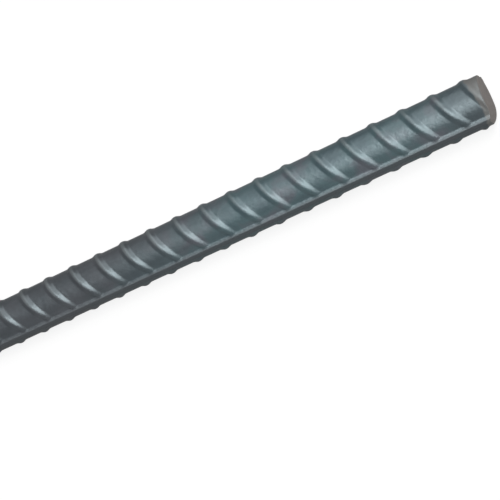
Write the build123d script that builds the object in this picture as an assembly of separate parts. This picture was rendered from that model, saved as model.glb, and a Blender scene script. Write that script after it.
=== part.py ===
from build123d import *

import math
import os

# Hot-rolled deformed reinforcing bar: one length of 16 mm ribbed steel bar, sold singly.
#
# The bar lies along X, with the origin on its axis midway between its ends. The two
# longitudinal ribs, left at the parting of the rolls, run the whole length on the +Y and -Y
# sides. Both ends are cut in a bar shear, which leaves a flat face with one edge rolled over.
# The slanted transverse ribs are fine relief and are not part of this solid, which holds the
# round core, the longitudinal ribs and the sheared ends at their real size, in millimetres.

# Stock
bar_length = 1000.0
core_diameter = 15.4

# Longitudinal ribs: height above the core, width of the crest, lean of each flank from
# square, rounding of the crest's edges, and fillet at the root
long_rib_height = 1.0
long_rib_crest = 1.8
long_rib_flank_lean = 30.0
long_rib_edge_radius = 0.35
long_rib_root_radius = 0.8

# Sheared ends: how far the edge is rolled over along the bar and across it, and the side
# where it is rolled over at the +X end, as a turn about the axis from straight down to -Y
rollover_depth = 1.5
rollover_band = 5.8
rollover_turn = 52.0

core_radius = core_diameter / 2
crest_radius = core_radius + long_rib_height


def longitudinal_rib():
    """Trapezoid of one longitudinal rib across the section, its foot buried in the core."""
    foot_radius = core_radius - long_rib_height
    lean = math.tan(math.radians(long_rib_flank_lean))
    crest_half = long_rib_crest / 2
    foot_half = crest_half + (crest_radius - foot_radius) * lean
    corners = [
        (foot_radius, -foot_half),
        (crest_radius, -crest_half),
        (crest_radius, crest_half),
        (foot_radius, foot_half),
    ]
    return make_face(Polyline(*corners, close=True))


def bar_section():
    """Rolled section, drawn across the bar: local x is the bar's +Y and local y its +Z."""
    rib = longitudinal_rib()
    section = Circle(core_radius) + rib + Rot(Z=180) * rib
    crest_edges = [v for v in section.vertices() if abs(abs(v.X) - crest_radius) < 0.001]
    section = fillet(crest_edges, long_rib_edge_radius)
    roots = [
        v
        for v in section.vertices()
        if abs(math.hypot(v.X, v.Y) - core_radius) < 0.001 and abs(v.Y) > long_rib_crest / 2
    ]
    return fillet(roots, long_rib_root_radius)


def rolled_length():
    """The section run the whole length of the stock, along X."""
    far_end = Plane(origin=(-bar_length / 2, 0, 0), x_dir=(0, 1, 0), z_dir=(1, 0, 0))
    return extrude(far_end * bar_section(), amount=bar_length)


def shear_trim():
    """What one cut takes off: the rolled-over edge of the +X end, curved away as an arc.

    Its profile is drawn in the plane of the shear's stroke, with x along the bar and y away
    from the rolled-over side. The arc leaves the flat face square, rollover_band inside the
    core's edge, and has dropped back by rollover_depth where it meets that edge.
    """
    end = bar_length / 2
    arc_top = rollover_band - core_radius
    arc_radius = (rollover_band**2 + rollover_depth**2) / (2 * rollover_depth)
    arc_reach = crest_radius + arc_top
    sweep = math.degrees(math.asin(min(arc_reach / arc_radius, 1.0)))
    face_line = CenterArc((end - arc_radius, arc_top), arc_radius, 0, -sweep)
    corner = (end, (face_line @ 1).Y)
    waste = make_face([face_line, Line(face_line @ 1, corner), Line(corner, face_line @ 0)])
    stroke_plane = Plane.XZ.rotated((-rollover_turn, 0, 0))
    return extrude(stroke_plane * waste, amount=crest_radius, both=True)


def reinforcing_bar():
    """The whole bar: the rolled length, cut at both ends by the same shear.

    The blade rolls over opposite sides of the two ends of a piece, so the cut at the far end
    is the near one turned half a turn about the axis that is square to the shear's stroke.
    """
    near_cut = shear_trim()
    across_stroke = Axis((0, 0, 0), Vector(0, 1, 0).rotate(Axis.X, -rollover_turn))
    far_cut = near_cut.rotate(across_stroke, 180)
    return rolled_length() - near_cut - far_cut


os.makedirs("parts", exist_ok=True)
export_step(reinforcing_bar(), "parts/reinforcing_bar.step")
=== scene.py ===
import math

import bpy
import numpy as np
from mathutils import Matrix, Vector


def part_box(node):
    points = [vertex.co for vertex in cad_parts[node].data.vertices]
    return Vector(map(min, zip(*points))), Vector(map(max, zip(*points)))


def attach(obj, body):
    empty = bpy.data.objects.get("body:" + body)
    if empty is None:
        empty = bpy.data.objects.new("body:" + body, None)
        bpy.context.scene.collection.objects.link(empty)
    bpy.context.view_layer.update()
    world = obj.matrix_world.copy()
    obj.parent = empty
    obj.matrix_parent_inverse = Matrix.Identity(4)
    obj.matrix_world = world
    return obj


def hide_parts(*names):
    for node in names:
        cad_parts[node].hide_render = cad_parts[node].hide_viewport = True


# Visual model of one deformed reinforcing bar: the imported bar's core and longitudinal ribs with
# the slanted transverse ribs rolled onto them, both sheared ends, and the mill scale.
# Everything is in metres. A turn round the bar starts at -Y and goes up over +Z.

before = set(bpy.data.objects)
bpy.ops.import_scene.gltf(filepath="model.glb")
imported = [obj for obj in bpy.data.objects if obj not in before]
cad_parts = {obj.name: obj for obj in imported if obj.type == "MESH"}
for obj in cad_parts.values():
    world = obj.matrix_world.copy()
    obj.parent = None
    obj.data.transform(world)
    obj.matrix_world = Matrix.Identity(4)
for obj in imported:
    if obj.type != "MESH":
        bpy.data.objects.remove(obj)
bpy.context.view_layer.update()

MM = 0.001
BAR = "reinforcing_bar"
along_bar = Vector((1.0, 0.0, 0.0))
rng = np.random.default_rng(16)

bar_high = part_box(BAR)[1]
half_length = bar_high.x
crest_radius = bar_high.y

# Longitudinal ribs, as in the bar's own section
long_rib_height = 1.0 * MM
long_rib_crest = 1.8 * MM
long_rib_lean = math.radians(30)
long_rib_edge_radius = 0.35 * MM
long_rib_root_radius = 0.8 * MM
core_radius = crest_radius - long_rib_height

# Transverse ribs: their spacing, their height half-way between the longitudinal ribs, the share
# of it that is left where they meet those, how the height falls off to there, and their width
# at the crest and at the foot
rib_pitch = 10.18 * MM
rib_height = 0.65 * MM
rib_end_share = 0.65
rib_crescent_power = 2.2
rib_crest = 0.3 * MM
rib_base = 4.4 * MM

# Their slant, as how far a rib falls back from the +X end for each radian away from -Y, with
# a bow on top of it, and where each half's rib 0 would meet the -Y side, past that end
rib_lag_per_radian = 3.146 * MM
rib_bow = 1.68 * MM
upper_rib_start = 3.532 * MM
lower_rib_start = -0.109 * MM

# Unevenness of the rolls, as spreads between ribs of place and height, and how far and how
# often a crest line wanders
rib_place_spread = 0.05 * MM
rib_height_spread = 0.035
rib_wander = 0.06 * MM
rib_wander_waves = 3

# Sheared ends: the rolled-over edge as in the bar's own cut, with its side at the +X end, the
# rounding all round the face, how far along the bar the shear has dragged the skin, and the
# face's own waviness
rollover_depth = 1.5 * MM
rollover_band = 5.8 * MM
rollover_turn = math.radians(-38)
sheared_edge = 0.3 * MM
shear_drag = 6.0 * MM
fracture_depth = 0.06 * MM
fracture_wave = 7.0 * MM

# Scale knocked off beside the cuts: least and greatest reach from the end, and the turn where
# it reaches furthest at the +X end; at the other end that is on the opposite side
flaked_least = 1.4 * MM
flaked_most = 4.6 * MM
flaked_turn = math.radians(150)

# Fineness of the mesh: rows across each transverse rib, columns across each half of the core,
# steps round each rounding of a longitudinal rib, and the rings of an end. Those of its edge
# are turns round the rounding, and those of its face are shares of the bar's radius.
rib_rows = 13
arc_columns = 25
rounding_steps = 2
edge_rings = [math.radians(30), math.radians(60), math.radians(90)]
face_rings = [0.86, 0.68, 0.48, 0.26, 0.08]

# Numbers of the two materials in the mesh
ON_SCALE = 0
ON_CUT = 1


def eased(t):
    """0 to 1, flat at both ends."""
    t = np.clip(t, 0.0, 1.0)
    return t * t * (3.0 - 2.0 * t)


def long_rib_side():
    """One side of a longitudinal rib's section, from crest to root, as (reach, width)."""
    down_flank = Vector((-math.cos(long_rib_lean), math.sin(long_rib_lean)))
    off_flank = Vector((math.sin(long_rib_lean), math.cos(long_rib_lean)))
    corner = Vector((crest_radius, long_rib_crest / 2))
    edge_turn = math.pi / 2 - long_rib_lean
    tangent = long_rib_edge_radius * math.tan(edge_turn / 2)
    edge_centre = corner - Vector((long_rib_edge_radius, tangent))
    root_off = off_flank.dot(corner) + long_rib_root_radius
    root_reach = core_radius + long_rib_root_radius
    root_centre = off_flank * root_off - down_flank * math.sqrt(root_reach**2 - root_off**2)
    root_first = math.atan2(-off_flank.y, -off_flank.x)
    root_last = math.atan2(-root_centre.y, -root_centre.x)
    roundings = [
        (edge_centre, long_rib_edge_radius, 0.0, edge_turn),
        (root_centre, long_rib_root_radius, root_first, root_last),
    ]
    points = []
    for centre, radius, first, last in roundings:
        for i in range(rounding_steps + 1):
            angle = first + (last - first) / rounding_steps * i
            points.append(centre + Vector((math.cos(angle), math.sin(angle))) * radius)
    return points


def section_columns():
    """Once round the section from the -Y rib: each corner's turn and radius, whether it is in
    the upper half, and the upper half's share in it, which passes from 0 to 1 across a rib."""
    side = long_rib_side()
    flank_foot = side[rounding_steps + 1].y
    rib = [(p.x, -p.y) for p in reversed(side)] + [(p.x, p.y) for p in side]
    turns = [math.atan2(width, reach) for reach, width in rib]
    radii = [math.hypot(reach, width) for reach, width in rib]
    upper = [width > 0 for reach, width in rib]
    share = [min(max(0.5 + 0.5 * width / flank_foot, 0.0), 1.0) for reach, width in rib]
    root_turn = turns[-1]
    for i in range(1, arc_columns):
        turns.append(root_turn + (math.pi - 2 * root_turn) * i / arc_columns)
        radii.append(core_radius)
        upper.append(True)
        share.append(1.0)
    turns += [turn + math.pi for turn in turns]
    radii += radii
    upper += [not value for value in upper]
    share += [1.0 - value for value in share]
    return [np.array(values) for values in (turns, radii, upper, share)]


turns, section_radii, upper, upper_share = section_columns()
columns = np.arange(len(turns))
from_minus_y = np.abs((turns + math.pi) % math.tau - math.pi)
lag = rib_lag_per_radian * from_minus_y + rib_bow * np.sin(from_minus_y)
crescent = rib_end_share + (1 - rib_end_share) * np.abs(np.sin(turns)) ** rib_crescent_power

# A few more ribs than the bar needs, from before its +X end to past its -X end, and a row of
# unevenness for the lower and the upper half
first_rib = -2
spare_ribs = 5
rib_count = int(2 * half_length / rib_pitch) + spare_ribs
rib_places = rng.normal(0.0, rib_place_spread, (2, rib_count))
rib_heights = 1.0 + rng.normal(0.0, rib_height_spread, (2, rib_count))
rib_waves = rng.uniform(0.0, math.tau, (2, rib_count))


def rib_centre(index, column, half):
    """Where along the bar a half's rib stands at a column of the section."""
    start = np.where(half, upper_rib_start, lower_rib_start)
    row = half.astype(int)
    wander = rib_wander * np.sin(rib_wander_waves * turns[column] + rib_waves[row, index])
    nominal = half_length + start - (index + first_rib) * rib_pitch - lag[column]
    return nominal + rib_places[row, index] + wander


def relief(x, column):
    """Height of the transverse ribs above the core."""
    half = upper[column]
    start = np.where(half, upper_rib_start, lower_rib_start)
    index = np.rint((half_length + start - lag[column] - x) / rib_pitch).astype(int) - first_rib
    index = np.clip(index, 0, rib_count - 1)
    away = np.abs(x - rib_centre(index, column, half))
    fall = np.clip((away - rib_crest / 2) / (rib_base / 2 - rib_crest / 2), 0.0, 1.0)
    height = rib_height * rib_heights[half.astype(int), index]
    return height * crescent[column] * 0.5 * (1.0 + np.cos(math.pi * fall))


def skin_radius(x, column):
    """Distance of the skin from the axis, with both kinds of rib."""
    return np.maximum(section_radii[column], core_radius + relief(x, column))


def shear_drop(x, y, z):
    """How far the shear has rolled a point back from the plane of its end."""
    side = np.sign(x)
    toward = side * (z * math.sin(rollover_turn) - y * math.cos(rollover_turn))
    arc = (rollover_band**2 + rollover_depth**2) / (2 * rollover_depth)
    past = np.clip(toward - (core_radius - rollover_band), 0.0, arc)
    drop = arc - np.sqrt(arc**2 - past**2)
    return side * drop * eased((np.abs(x) - half_length + shear_drag) / shear_drag)


def past_flaked(x, column):
    """How far a point lies inside the scale that is still whole."""
    toward = 0.5 + 0.5 * np.sign(x) * np.cos(turns[column] - flaked_turn)
    reach = flaked_least + (flaked_most - flaked_least) * toward**2
    return half_length - np.abs(x) - reach


def side_rows(body_end):
    """Places along the bar of every row of the ribbed side, for each column."""
    steps = np.linspace(1.0, -1.0, rib_rows)
    rows = []
    for index in range(rib_count):
        up = rib_centre(index, columns, np.ones(len(columns), bool))
        down = rib_centre(index, columns, np.zeros(len(columns), bool))
        centre = down + (up - down) * upper_share
        rows += [centre + rib_base / 2 * step for step in steps]
    return np.clip(np.array(rows), -body_end, body_end)


def skin_points(x, column, inset, share_of_radius):
    """The skin's points, and what the mill scale has to know at each of them.

    A point is given by its place along an uncut bar, its column, and how far it is set in from
    the skin and drawn towards the axis, which only the points of the ends are.
    """
    radius = (skin_radius(x, column) - inset) * share_of_radius
    y = -radius * np.cos(turns[column])
    z = radius * np.sin(turns[column])
    on_face = share_of_radius < 1.0
    crest = np.clip(relief(x, column) / rib_height, 0.0, 1.0)
    known = {
        "crest": np.where(on_face, 0.0, crest),
        "whole_scale": past_flaked(x, column),
        "long_rib": eased((section_radii[column] - core_radius) / long_rib_height),
    }
    waves = np.sin(math.tau * y / fracture_wave) * np.sin(math.tau * z / fracture_wave)
    x = x - shear_drop(x, y, z)
    x = x + np.where(on_face, fracture_depth * waves, 0.0)
    return np.column_stack([x, y, z]), known


def bar_mesh():
    """One closed skin: the ribbed side, its rounded sheared edges and the two sheared faces.

    Rows that run past an end are gathered onto the ring where the side stops.
    """
    body_end = half_length - sheared_edge
    rows = side_rows(body_end)
    free = np.abs(rows) < body_end
    xs = [rows[free]]
    point_columns = [np.broadcast_to(columns, rows.shape)[free]]
    insets = [np.zeros(free.sum())]
    shares = [np.ones(free.sum())]
    faces = []
    marks = []

    def add_ring(x, inset, share_of_radius):
        """A ring of points round the bar, as their numbers."""
        first = sum(len(part) for part in xs)
        xs.append(np.full(len(columns), x))
        point_columns.append(columns)
        insets.append(np.full(len(columns), inset))
        shares.append(np.full(len(columns), share_of_radius))
        return first + columns

    def join(ring_a, ring_b, mark):
        """Faces between two rings, less the corners that they share."""
        for j in range(len(columns)):
            k = (j + 1) % len(columns)
            corners = [ring_a[j], ring_a[k], ring_b[k], ring_b[j]]
            apart = [c for i, c in enumerate(corners) if c != corners[i - 1]]
            if len(apart) >= 3:
                faces.append(apart)
                marks.append(mark)

    near_ring = add_ring(body_end, 0.0, 1.0)
    far_ring = add_ring(-body_end, 0.0, 1.0)
    numbers = np.full(rows.shape, -1)
    numbers[free] = np.arange(free.sum())
    numbers = np.where(rows >= body_end, near_ring, numbers)
    numbers = np.where(rows <= -body_end, far_ring, numbers)
    for row, next_row in zip(numbers, numbers[1:]):
        join(row, next_row, ON_SCALE)

    end_rings = []
    for lean in edge_rings:
        reach = body_end + sheared_edge * math.sin(lean)
        mark = ON_CUT if lean == edge_rings[-1] else ON_SCALE
        end_rings.append((reach, sheared_edge * (1 - math.cos(lean)), 1.0, mark))
    for share_of_radius in face_rings:
        end_rings.append((half_length, sheared_edge, share_of_radius, ON_CUT))

    for side, ring in ((1, near_ring), (-1, far_ring)):
        for reach, inset, share_of_radius, mark in end_rings:
            following = add_ring(side * reach, inset, share_of_radius)
            if side > 0:
                join(following, ring, mark)
            else:
                join(ring, following, mark)
            ring = following
        faces.append(ring[::-1] if side > 0 else ring)
        marks.append(ON_CUT)

    parts = (xs, point_columns, insets, shares)
    points, known = skin_points(*(np.concatenate(part) for part in parts))
    return points, faces, marks, known


def build_bar(steel, cut):
    """The bar as one object, with what the mill scale has to know as point attributes."""
    points, faces, marks, known = bar_mesh()
    mesh = bpy.data.meshes.new("ribbed_bar")
    mesh.from_pydata(points.tolist(), [], [[int(c) for c in face] for face in faces])
    mesh.materials.append(steel)
    mesh.materials.append(cut)
    mesh.polygons.foreach_set("material_index", marks)
    mesh.polygons.foreach_set("use_smooth", [True] * len(mesh.polygons))
    for name, values in known.items():
        attribute = mesh.attributes.new(name, "FLOAT", "POINT")
        attribute.data.foreach_set("value", values.astype(np.float32))
    mesh.validate()
    bar = bpy.data.objects.new("ribbed_bar", mesh)
    bpy.context.scene.collection.objects.link(bar)
    weighted = bar.modifiers.new("area_weighted_normals", "WEIGHTED_NORMAL")
    weighted.keep_sharp = True
    return bar


# A grain is a noise's number of cells in a metre, and a stop is a value of the noise and the
# colour there. A noise's finer layers count for more the higher its own roughness is.
plain_noise = 0.55
busy_noise = 0.6
bump_strength = 0.5
bump_distance = 0.2 * MM

# Mill scale: a bluer and a greyer tone, each mottled, in stretches along the bar that the
# shift places as they are seen. This is partly the scale's own tone and partly painted light:
# the bluer tone is the lighter one, and the shift puts it where the bar is lit brightest.
bluer_stops = [
    (0.36, (0.050, 0.084, 0.098)),
    (0.52, (0.063, 0.109, 0.120)),
    (0.66, (0.092, 0.098, 0.118)),
]
greyer_stops = [
    (0.36, (0.045, 0.049, 0.056)),
    (0.60, (0.064, 0.066, 0.075)),
]
tone_grain = 90.0
stretch_grain = 6.0
stretch_shift = 1.44
stretch_edges = (0.42, 0.58)

# Dark streaks, drawn out along the bar
streak_grain = 900.0
streak_draw = 0.12
streak_stops = [(0.3, (0.4, 0.4, 0.4)), (0.7, (1.0, 1.0, 1.0))]
streak_strength = 0.35

# Scale rubbed lighter on the transverse ribs' crests, from a share of their height upwards
rubbed_from = 0.75
rubbed_most = 0.35
rubbed_colour = (0.22, 0.245, 0.25)

# Longitudinal ribs: painted shade, their colour darkened to stand in for the shade on the lower
# one, which faces down and away from the light; their scale is also made duller
long_rib_share = 0.8
long_rib_painted_shade = (0.042, 0.040, 0.044)

# Steel bared beside the cuts: how ragged its border is, and where the scale starts to go and
# has gone
flake_grain = 500.0
flake_raggedness = 1.6 * MM
flake_border = (1.1 * MM, 0.5 * MM)
flaked_colour = (0.135, 0.127, 0.119)

# Gloss of the scale, with the roughness that the mottle spans and what dull places add, as a
# multiple of that span
scale_ior = 2.15
scale_tint = (0.80, 0.95, 1.0)
scale_roughness = (0.26, 0.42)
dull_gain = 1.4
mottle_grain = 420.0
pit_grain = 800.0


def new_material(name):
    material = bpy.data.materials.new(name)
    material.use_nodes = True
    tree = material.node_tree
    shader = tree.nodes["Principled BSDF"]
    return material, tree, shader


def feed(tree, socket, value):
    """Link an input to another node's output, or set it to a plain number or colour."""
    if isinstance(value, bpy.types.NodeSocket):
        tree.links.new(value, socket)
    elif isinstance(value, (int, float)):
        socket.default_value = value
    else:
        socket.default_value = (*value, 1.0)


def object_place(tree):
    return tree.nodes.new("ShaderNodeTexCoord").outputs["Object"]


def point_value(tree, name):
    made = tree.nodes.new("ShaderNodeAttribute")
    made.attribute_name = name
    return made.outputs["Fac"]


def mapped(tree, where, **settings):
    """A place moved, turned or scaled, by the names of the Mapping node's inputs."""
    made = tree.nodes.new("ShaderNodeMapping")
    for name, value in settings.items():
        made.inputs[name].default_value = value
    tree.links.new(where, made.inputs["Vector"])
    return made.outputs["Vector"]


def noise(tree, where, grain, detail, roughness=plain_noise):
    made = tree.nodes.new("ShaderNodeTexNoise")
    made.inputs["Scale"].default_value = grain
    made.inputs["Detail"].default_value = detail
    made.inputs["Roughness"].default_value = roughness
    tree.links.new(where, made.inputs["Vector"])
    return made.outputs["Fac"]


def calculated(tree, operation, *values):
    made = tree.nodes.new("ShaderNodeMath")
    made.operation = operation
    for socket, value in zip(made.inputs, values):
        feed(tree, socket, value)
    return made.outputs["Value"]


def ranged(tree, value, given=(0.0, 1.0), wanted=(0.0, 1.0), clamp=True):
    """A value taken from one range to another."""
    made = tree.nodes.new("ShaderNodeMapRange")
    made.clamp = clamp
    ends = zip(("From Min", "From Max", "To Min", "To Max"), (*given, *wanted))
    for name, end in ends:
        made.inputs[name].default_value = end
    tree.links.new(value, made.inputs["Value"])
    return made.outputs["Result"]


def ramp(tree, value, stops):
    made = tree.nodes.new("ShaderNodeValToRGB")
    elements = made.color_ramp.elements
    while len(elements) < len(stops):
        elements.new(0.5)
    for element, (place, colour) in zip(elements, stops):
        element.position = place
        element.color = (*colour, 1.0)
    tree.links.new(value, made.inputs["Fac"])
    return made.outputs["Color"]


def mix(tree, factor, a, b, blend="MIX"):
    made = tree.nodes.new("ShaderNodeMix")
    made.data_type = "RGBA"
    made.blend_type = blend
    for name, value in (("Factor", factor), ("A", a), ("B", b)):
        feed(tree, made.inputs[name], value)
    return made.outputs["Result"]


def add_bump(tree, shader, height):
    made = tree.nodes.new("ShaderNodeBump")
    made.inputs["Strength"].default_value = bump_strength
    made.inputs["Distance"].default_value = bump_distance
    tree.links.new(height, made.inputs["Height"])
    tree.links.new(made.outputs["Normal"], shader.inputs["Normal"])


def mill_scale():
    """Mill scale in bluer and greyer stretches, mottled and streaked along the bar.

    It is rubbed lighter on the transverse ribs' crests, painted darker on the longitudinal ribs
    as shade, and flaked off beside the cuts.
    """
    material, tree, shader = new_material("mill_scale")
    place = object_place(tree)

    bluer = ramp(tree, noise(tree, place, tone_grain, detail=3.0), bluer_stops)
    greyer = ramp(tree, noise(tree, place, tone_grain, detail=3.0), greyer_stops)
    # Partly painted light: the shift sets the lighter, bluer stretch where the bar is lit
    # brightest.
    shifted = mapped(tree, place, Location=(stretch_shift, 0.0, 0.0))
    stretches = ranged(tree, noise(tree, shifted, stretch_grain, detail=2.0), stretch_edges)
    colour = mix(tree, stretches, greyer, bluer)

    drawn = mapped(tree, place, Scale=(streak_draw, 1.0, 1.0))
    streaks = noise(tree, drawn, streak_grain, detail=4.0, roughness=busy_noise)
    colour = mix(tree, streak_strength, colour, ramp(tree, streaks, streak_stops), "MULTIPLY")

    crest = point_value(tree, "crest")
    rubbed = ranged(tree, crest, (rubbed_from, 1.0), (0.0, rubbed_most))
    colour = mix(tree, rubbed, colour, rubbed_colour)

    # Painted shade: darkens the longitudinal ribs' colour; the same share also makes them duller.
    long_rib = calculated(tree, "MULTIPLY", point_value(tree, "long_rib"), long_rib_share)
    colour = mix(tree, long_rib, colour, long_rib_painted_shade)

    whole = point_value(tree, "whole_scale")
    border = noise(tree, place, flake_grain, detail=4.0)
    ragged = calculated(tree, "MULTIPLY_ADD", border, flake_raggedness, whole)
    flaked = ranged(tree, ragged, flake_border)
    colour = mix(tree, flaked, colour, flaked_colour)
    tree.links.new(colour, shader.inputs["Base Color"])

    dull = calculated(tree, "MAXIMUM", flaked, long_rib)
    mottle = noise(tree, place, mottle_grain, detail=5.0)
    matt = calculated(tree, "MULTIPLY_ADD", dull, dull_gain, mottle)
    roughness = ranged(tree, matt, wanted=scale_roughness, clamp=False)
    tree.links.new(roughness, shader.inputs["Roughness"])
    shader.inputs["Metallic"].default_value = 0.0
    shader.inputs["IOR"].default_value = scale_ior
    shader.inputs["Specular Tint"].default_value = (*scale_tint, 1.0)
    pits = noise(tree, place, pit_grain, detail=6.0, roughness=busy_noise)
    add_bump(tree, shader, pits)
    return material


# Cut face: drag lines, drawn out level across it
drag_grain = 1500.0
drag_draw = (0.1, 0.15, 1.0)
drag_stops = [(0.3, (0.26, 0.236, 0.224)), (0.7, (0.39, 0.354, 0.332))]
cut_roughness = 0.55


def sheared_steel():
    """The cut face: brownish grey, with level drag lines.

    The turn comes after the scaling, so it picks another part of the noise and leaves the
    lines level.
    """
    material, tree, shader = new_material("sheared_steel")
    turn = (rollover_turn, 0.0, 0.0)
    drawn = mapped(tree, object_place(tree), Rotation=turn, Scale=drag_draw)
    lines = noise(tree, drawn, drag_grain, detail=5.0, roughness=busy_noise)
    tree.links.new(ramp(tree, lines, drag_stops), shader.inputs["Base Color"])
    shader.inputs["Metallic"].default_value = 0.0
    shader.inputs["Roughness"].default_value = cut_roughness
    add_bump(tree, shader, lines)
    return material


# Studio: what the camera and the bar's gloss see of a white floor and world, and what those
# give the bar as light
WHITE = (1.0, 1.0, 1.0, 1.0)
gloss_share = 0.15
world_light = 0.05
floor_colour = (0.20, 0.20, 0.20, 1.0)
floor_roughness = 0.9
floor_lift = 0.84
floor_reach = 30.0

# Soft boxes over the bar, above the camera and low in front, with their sizes along and
# across the bar
soft_boxes = {
    "overhead": {
        "place": (1.5, 0.5, 2.9),
        "back": (0.0, 0.0, 1.0),
        "along": 4.0,
        "across": 6.0,
        "radiance": 1.15,
    },
    "key": {
        "place": (1.1, -1.6, 2.4),
        "back": (0.20, -0.55, 0.81),
        "along": 2.4,
        "across": 3.0,
        "radiance": 2.6,
    },
    "low": {
        "place": (1.9, -2.4, 0.8),
        "back": (0.5, -0.8, 0.25),
        "along": 1.8,
        "across": 1.2,
        "radiance": 2.2,
    },
}


def seen_white(tree, unseen, seen):
    """A strength that the camera gets in full, reflections in part, and the bar's light not."""
    rays = tree.nodes.new("ShaderNodeLightPath").outputs
    passed_on = rays["Is Transmission Ray"]
    bounced = calculated(tree, "MULTIPLY_ADD", rays["Is Glossy Ray"], gloss_share, passed_on)
    looked_at = calculated(tree, "ADD", rays["Is Camera Ray"], bounced)
    return ranged(tree, looked_at, wanted=(unseen, seen))


def pale_floor(level):
    """A plain pale floor, which the camera and reflections see nearer to white."""
    mesh = bpy.data.meshes.new("floor")
    signs = ((-1, -1), (1, -1), (1, 1), (-1, 1))
    corners = [(x * floor_reach, y * floor_reach, level) for x, y in signs]
    mesh.from_pydata(corners, [], [(0, 1, 2, 3)])
    floor = bpy.data.objects.new("floor", mesh)
    bpy.context.scene.collection.objects.link(floor)
    material, tree, shader = new_material("floor")
    shader.inputs["Base Color"].default_value = floor_colour
    shader.inputs["Roughness"].default_value = floor_roughness
    shader.inputs["Specular IOR Level"].default_value = 0.0
    shader.inputs["Emission Color"].default_value = WHITE
    tree.links.new(seen_white(tree, 0.0, floor_lift), shader.inputs["Emission Strength"])
    mesh.materials.append(material)


def pale_world():
    """A world that is white to look at and gives the bar a little even light."""
    world = bpy.data.worlds.new("studio")
    bpy.context.scene.world = world
    world.use_nodes = True
    tree = world.node_tree
    background = tree.nodes["Background"]
    background.inputs["Color"].default_value = WHITE
    tree.links.new(seen_white(tree, world_light, 1.0), background.inputs["Strength"])


def set_up(name, data, place, right, up, back):
    """An object at a place, with its own X, Y and Z along right, up and back."""
    made = bpy.data.objects.new(name, data)
    turned = Matrix((right, up, back)).transposed()
    made.matrix_world = Matrix.Translation(place) @ turned.to_4x4()
    bpy.context.scene.collection.objects.link(made)
    return made


def soft_light(name, place, back, along, across, radiance):
    """A soft box at a place, which shines away from its back, with one side along the bar."""
    lamp = bpy.data.lights.new(name, "AREA")
    lamp.shape = "RECTANGLE"
    lamp.size = along
    lamp.size_y = across
    lamp.energy = radiance * math.pi * along * across
    back = Vector(back).normalized()
    up = back.cross(along_bar).normalized()
    set_up(name, lamp, place, up.cross(back), up, back)


# Camera, fitted to the bar's edges, its ribs and its end in the photograph: the bar's tilt in
# the picture, its lean towards the camera, how far up over the bar the camera stands, and
# where and how far off the centre of the near end is
picture_size = 500
focal_pixels = 1427.7
bar_tilt = math.radians(24.53)
bar_lean = math.radians(19.80)
camera_turn = math.radians(48)
near_end_pixel = (487.95, 98.41)
near_end_depth = 423.9 * MM

# Blender's own lens numbers: the sensor's width in millimetres, and what is near enough and
# far enough to be drawn
sensor_width = 36.0
clip_near = 0.01
clip_far = 100.0


def photograph_camera():
    """The camera at the photograph's viewing angle.

    over is square to the bar, on the camera's side of it, and up_side is square to both. The
    camera's back, right and up follow from how the bar leans towards it and how it is tilted
    in the picture.
    """
    over = Vector((0.0, -math.cos(camera_turn), math.sin(camera_turn)))
    up_side = Vector((0.0, math.sin(camera_turn), math.cos(camera_turn)))
    back = math.sin(bar_lean) * along_bar + math.cos(bar_lean) * over
    in_picture = (along_bar - math.sin(bar_lean) * back).normalized()
    right = math.cos(bar_tilt) * in_picture - math.sin(bar_tilt) * up_side
    up = math.sin(bar_tilt) * in_picture + math.cos(bar_tilt) * up_side
    across = (near_end_pixel[0] - picture_size / 2) / focal_pixels * near_end_depth
    above = (picture_size / 2 - near_end_pixel[1]) / focal_pixels * near_end_depth
    near_end = half_length * along_bar
    place = near_end - across * right - above * up + near_end_depth * back
    lens = bpy.data.cameras.new("camera")
    lens.sensor_width = sensor_width
    lens.lens = focal_pixels / picture_size * sensor_width
    lens.clip_start = clip_near
    lens.clip_end = clip_far
    bpy.context.scene.camera = set_up("camera", lens, place, right, up, back)


bar = build_bar(mill_scale(), sheared_steel())
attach(bar, "root")
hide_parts(BAR)

pale_floor(-(core_radius + rib_height))
pale_world()

for name, soft_box in soft_boxes.items():
    soft_light(name, **soft_box)
photograph_camera()

bpy.context.scene.view_settings.view_transform = "Standard"
